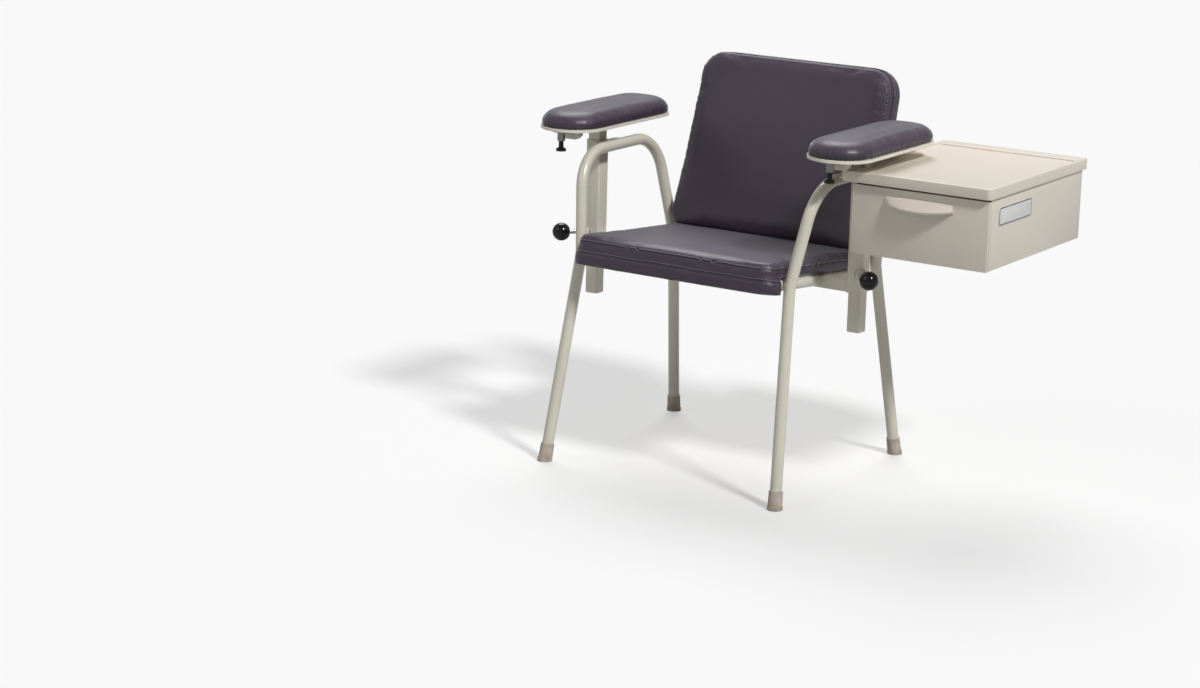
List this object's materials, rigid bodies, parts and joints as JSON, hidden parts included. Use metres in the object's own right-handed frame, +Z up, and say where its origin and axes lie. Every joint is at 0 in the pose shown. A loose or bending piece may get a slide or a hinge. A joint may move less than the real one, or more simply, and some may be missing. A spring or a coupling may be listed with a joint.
{
  "type": "phlebotomy chair",
  "caption": "Blood-draw chair with tubular steel frame, padded seat and back, height-adjustable turning arm pads and a side drawer cabinet.",
  "frame": {"origin": "on the floor, at the middle of the whole chair from side to side and from front to back", "axes": "+X towards the sitter's left, where the drawer cabinet is, +Y towards the back, +Z up"},
  "size_m": [1.0738, 0.6405, 0.8571],
  "materials": {
    "frame_paint": "satin powder coat, putty cream",
    "tip_rubber": "matt taupe rubber",
    "vinyl": "smooth coated vinyl, dark plum grey",
    "plywood": "raw plywood",
    "pad_board_white": "white laminate edge",
    "black_plastic": "polished black ball",
    "plunger_black": "moulded black",
    "grey_steel": "plain grey steel",
    "cabinet_paint": "satin putty beige enamel",
    "cabinet_top_laminate": "smooth cream laminate",
    "handle_plastic": "moulded light beige",
    "zinc_steel": "zinc plated"
  },
  "bodies": {
    "frame": {"side_frame_left": "frame_paint", "side_frame_right": "frame_paint", "rubber_tips": "tip_rubber", "seat_rail_left": "frame_paint", "seat_rail_right": "frame_paint", "front_crossbar": "frame_paint", "rear_crossbar": "frame_paint", "back_top_crossbar": "frame_paint", "mounting_tabs": "frame_paint", "cushion_screws": "zinc_steel", "seat_board": "plywood", "seat_cushion": "vinyl", "back_board": "plywood", "back_cushion": "vinyl", "arm_sleeve_left": "frame_paint", "arm_sleeve_right": "frame_paint", "upper_bracket_left": "frame_paint", "upper_bracket_right": "frame_paint", "lower_bracket_left": "frame_paint", "lower_bracket_right": "frame_paint", "clamp_boss_left": "frame_paint", "clamp_boss_right": "frame_paint", "cabinet_mount_plate": "frame_paint", "cabinet_bolts": "zinc_steel", "cabinet_shell": "cabinet_paint", "cabinet_top": "cabinet_top_laminate", "slide_channels": "zinc_steel"},
    "arm_left": {"arm_post_left": "frame_paint", "pad_plate_left": "grey_steel", "pivot_block_left": "frame_paint", "pivot_bolt_left": "zinc_steel", "pivot_nut_left": "zinc_steel", "plunger_collar_left": "grey_steel", "plunger_spring_left": "zinc_steel"},
    "pad_left": {"pad_board_left": "pad_board_white", "arm_pad_left": "vinyl"},
    "plunger_left": {"plunger_left": "plunger_black"},
    "clamp_left": {"clamp_stud_left": "zinc_steel", "ball_knob_left": "black_plastic"},
    "arm_right": {"arm_post_right": "frame_paint", "pad_plate_right": "grey_steel", "pivot_block_right": "frame_paint", "pivot_bolt_right": "zinc_steel", "pivot_nut_right": "zinc_steel", "plunger_collar_right": "grey_steel", "plunger_spring_right": "zinc_steel"},
    "pad_right": {"pad_board_right": "pad_board_white", "arm_pad_right": "vinyl"},
    "plunger_right": {"plunger_right": "plunger_black"},
    "clamp_right": {"clamp_stud_right": "zinc_steel", "ball_knob_right": "black_plastic"},
    "drawer": {"drawer_box": "cabinet_paint", "drawer_front": "cabinet_paint", "drawer_screws": "zinc_steel", "drawer_handle": "handle_plastic", "slide_rails": "zinc_steel"}
  },
  "joints": [
    {"name": "arm_height_left", "type": "slide", "parent": "frame", "child": "arm_left", "axis": [0, 0, 1], "range_m": [-0.02, 0.09]},
    {"name": "arm_swivel_left", "type": "hinge", "parent": "arm_left", "child": "pad_left", "pos_m": [0.20203, -0.16265, 0.7235], "axis": [0, 0, -1], "range_deg": [0, 90]},
    {"name": "plunger_pull_left", "type": "slide", "parent": "arm_left", "child": "plunger_left", "axis": [0, 0, 1], "range_m": [-0.005, 0], "stiffness_N_per_m": 900, "springref_m": 0.005, "deforming": ["plunger_spring_left"]},
    {"name": "clamp_knob_left", "type": "hinge", "parent": "frame", "child": "clamp_left", "pos_m": [0.22004, -0.07965, 0.467], "axis": [0.7071, -0.7071, 0], "range_deg": [0, 360]},
    {"name": "arm_height_right", "type": "slide", "parent": "frame", "child": "arm_right", "axis": [0, 0, 1], "range_m": [-0.02, 0.09]},
    {"name": "arm_swivel_right", "type": "hinge", "parent": "arm_right", "child": "pad_right", "pos_m": [-0.46216, -0.16265, 0.7115], "axis": [0, 0, 1], "range_deg": [0, 90]},
    {"name": "plunger_pull_right", "type": "slide", "parent": "arm_right", "child": "plunger_right", "axis": [0, 0, 1], "range_m": [-0.005, 0], "stiffness_N_per_m": 900, "springref_m": 0.005, "deforming": ["plunger_spring_right"]},
    {"name": "clamp_knob_right", "type": "hinge", "parent": "frame", "child": "clamp_right", "pos_m": [-0.48017, -0.07965, 0.467], "axis": [-0.7071, -0.7071, 0], "range_deg": [0, 360]},
    {"name": "drawer_slide", "type": "slide", "parent": "frame", "child": "drawer", "axis": [0, -1, 0], "range_m": [0, 0.28]}
  ]
}
